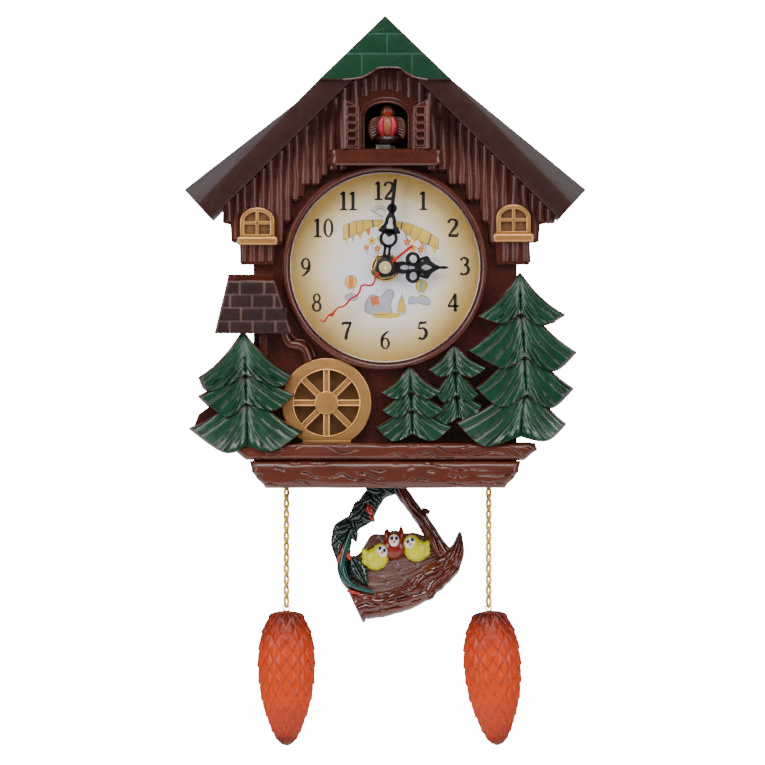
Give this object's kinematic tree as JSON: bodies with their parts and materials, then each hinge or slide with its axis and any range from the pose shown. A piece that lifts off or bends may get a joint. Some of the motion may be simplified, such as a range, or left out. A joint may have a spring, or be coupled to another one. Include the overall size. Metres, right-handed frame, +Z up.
{
  "type": "cuckoo clock",
  "caption": "Chalet-shaped plastic wall clock with a bird doorway, round dial, relief trees, water wheel, nest pendulum and pine cones on chains.",
  "frame": {"origin": "the hanging point: top of the back cover's keyhole slot, on the wall plane", "axes": "+Z up, +X to the viewer's right, -Y out of the wall towards the viewer, +Y into the wall"},
  "size_m": [0.2, 0.0625, 0.3587],
  "materials": {
    "brown_plastic": "glossy moulded brown",
    "roof_plastic": "glossy dark brown",
    "green_paint": "glossy deep green paint on plastic",
    "gold_paint": "satin gold paint on plastic",
    "brass": "polished",
    "steel": "brushed",
    "black_hand": "black lacquer",
    "red_hand": "red lacquer",
    "dial_paper": "printed card",
    "lens": "clear",
    "grey_plastic": "fine matt",
    "white_plastic": "fine matt",
    "cone_plastic": "glossy amber, translucent",
    "copper": "enamelled copper wire",
    "battery_wrap": "plain foil sleeve",
    "circuit_board": "solder-masked board",
    "bird_paint": "painted figure"
  },
  "bodies": {
    "clock": {"front_shell": "brown_plastic", "balcony": "brown_plastic", "log_base": "brown_plastic", "back_cover": "brown_plastic", "dial_bezel": "brown_plastic", "roof_shell": "roof_plastic", "mill_roof": "roof_plastic", "bird_box": "roof_plastic", "battery_box": "roof_plastic", "ridge_cap": "green_paint", "left_tree": "green_paint", "tall_tree": "green_paint", "middle_tree": "green_paint", "small_tree": "green_paint", "left_window": "gold_paint", "right_window": "gold_paint", "water_wheel": "gold_paint", "movement_nut": "brass", "left_hook": "brass", "right_hook": "brass", "back_screw_1": "steel", "back_screw_2": "steel", "back_screw_3": "steel", "back_screw_4": "steel", "bird_motor": "steel", "speaker": "steel", "dial_plate": "dial_paper", "dial_lens": "lens", "movement_case": "grey_plastic", "movement_cover": "grey_plastic", "pendulum_drive": "grey_plastic", "stepper_coil": "copper", "movement_battery": "battery_wrap", "sound_battery_1": "battery_wrap", "sound_battery_2": "battery_wrap", "sound_board": "circuit_board"},
    "minute_set": {"minute_hand": "black_hand", "centre_wheel": "brass"},
    "second_set": {"second_hand": "red_hand", "seconds_wheel": "brass"},
    "hour_set": {"hour_hand": "black_hand", "hour_wheel": "brass"},
    "third_set": {"third_wheel": "brass"},
    "intermediate_set": {"intermediate_wheel": "white_plastic"},
    "rotor_set": {"rotor": "steel"},
    "motion_set": {"motion_wheel": "brass", "set_knob": "grey_plastic"},
    "bird": {"cuckoo_bird": "bird_paint", "bird_carriage": "white_plastic"},
    "bird_gear": {"bird_pinion": "white_plastic"},
    "left_door": {"left_shutter": "brown_plastic"},
    "right_door": {"right_shutter": "brown_plastic"},
    "pendulum": {"pendulum_rod": "roof_plastic", "nest_bob": "brown_plastic"},
    "left_pull": {"left_chain": "brass"},
    "left_weight": {"left_cone": "cone_plastic"},
    "right_pull": {"right_chain": "brass"},
    "right_weight": {"right_cone": "cone_plastic"},
    "door": {"battery_door": "brown_plastic"},
    "switch": {"sound_switch": "white_plastic"}
  },
  "joints": [
    {"name": "minute_spin", "type": "hinge", "parent": "clock", "child": "minute_set", "pos_m": [0, -0.035, -0.084], "axis": [0, 1, 0], "continuous": true},
    {"name": "second_spin", "type": "hinge", "parent": "clock", "child": "second_set", "pos_m": [0, -0.035, -0.084], "axis": [0, 1, 0], "continuous": true},
    {"name": "hour_spin", "type": "hinge", "parent": "clock", "child": "hour_set", "pos_m": [0, -0.035, -0.084], "axis": [0, 1, 0], "continuous": true},
    {"name": "third_spin", "type": "hinge", "parent": "clock", "child": "third_set", "pos_m": [0.00795, -0.035, -0.07941], "axis": [0, 1, 0], "continuous": true},
    {"name": "intermediate_spin", "type": "hinge", "parent": "clock", "child": "intermediate_set", "pos_m": [-0.00082, -0.035, -0.07468], "axis": [0, 1, 0], "continuous": true},
    {"name": "rotor_spin", "type": "hinge", "parent": "clock", "child": "rotor_set", "pos_m": [0.00296, -0.035, -0.06813], "axis": [0, 1, 0], "continuous": true},
    {"name": "motion_spin", "type": "hinge", "parent": "clock", "child": "motion_set", "pos_m": [-0.00965, -0.035, -0.0823], "axis": [0, 1, 0], "continuous": true},
    {"name": "bird_slide", "type": "slide", "parent": "clock", "child": "bird", "axis": [0, 1, 0], "range_m": [0, 0.016]},
    {"name": "bird_gear_spin", "type": "hinge", "parent": "clock", "child": "bird_gear", "pos_m": [0.0075, -0.023, -0.0251], "axis": [0, 0, -1], "range_deg": [0, 305.58]},
    {"name": "left_shutter_swing", "type": "hinge", "parent": "clock", "child": "left_door", "pos_m": [-0.0134, -0.0506, -0.026], "axis": [0, 0, 1], "range_deg": [0, 120]},
    {"name": "right_shutter_swing", "type": "hinge", "parent": "clock", "child": "right_door", "pos_m": [0.0144, -0.0506, -0.026], "axis": [0, 0, -1], "range_deg": [0, 120]},
    {"name": "pendulum_swing", "type": "hinge", "parent": "clock", "child": "pendulum", "pos_m": [0, -0.02, -0.136], "axis": [0, 1, 0], "range_deg": [-6, 6]},
    {"name": "left_chain_swing", "type": "hinge", "parent": "clock", "child": "left_pull", "pos_m": [-0.0486, -0.038, -0.1881], "axis": [0, 1, 0], "range_deg": [-8, 8]},
    {"name": "left_cone_swing", "type": "hinge", "parent": "left_pull", "child": "left_weight", "pos_m": [-0.0486, -0.038, -0.2516], "axis": [0, 1, 0], "range_deg": [-15, 15]},
    {"name": "right_chain_swing", "type": "hinge", "parent": "clock", "child": "right_pull", "pos_m": [0.051, -0.038, -0.1881], "axis": [0, 1, 0], "range_deg": [-8, 8]},
    {"name": "right_cone_swing", "type": "hinge", "parent": "right_pull", "child": "right_weight", "pos_m": [0.051, -0.038, -0.2516], "axis": [0, 1, 0], "range_deg": [-15, 15]},
    {"name": "battery_door_swing", "type": "hinge", "parent": "clock", "child": "door", "pos_m": [-0.0577, -0.0006, -0.145], "axis": [0, 0, 1], "range_deg": [0, 100]},
    {"name": "sound_switch_slide", "type": "slide", "parent": "clock", "child": "switch", "axis": [1, 0, 0], "range_m": [0, 0.005]}
  ],
  "couplings": [
    {"joint": "second_spin", "follows": "minute_spin", "ratio": 60},
    {"joint": "hour_spin", "follows": "minute_spin", "ratio": 0.083333},
    {"joint": "third_spin", "follows": "minute_spin", "ratio": -8},
    {"joint": "intermediate_spin", "follows": "minute_spin", "ratio": -300},
    {"joint": "rotor_spin", "follows": "minute_spin", "ratio": 1800},
    {"joint": "motion_spin", "follows": "minute_spin", "ratio": -0.33333},
    {"joint": "bird_gear_spin", "follows": "bird_slide", "rad_per_m": 333.33},
    {"joint": "left_shutter_swing", "follows": "bird_slide", "rad_per_m": 130.9},
    {"joint": "right_shutter_swing", "follows": "bird_slide", "rad_per_m": 130.9}
  ]
}
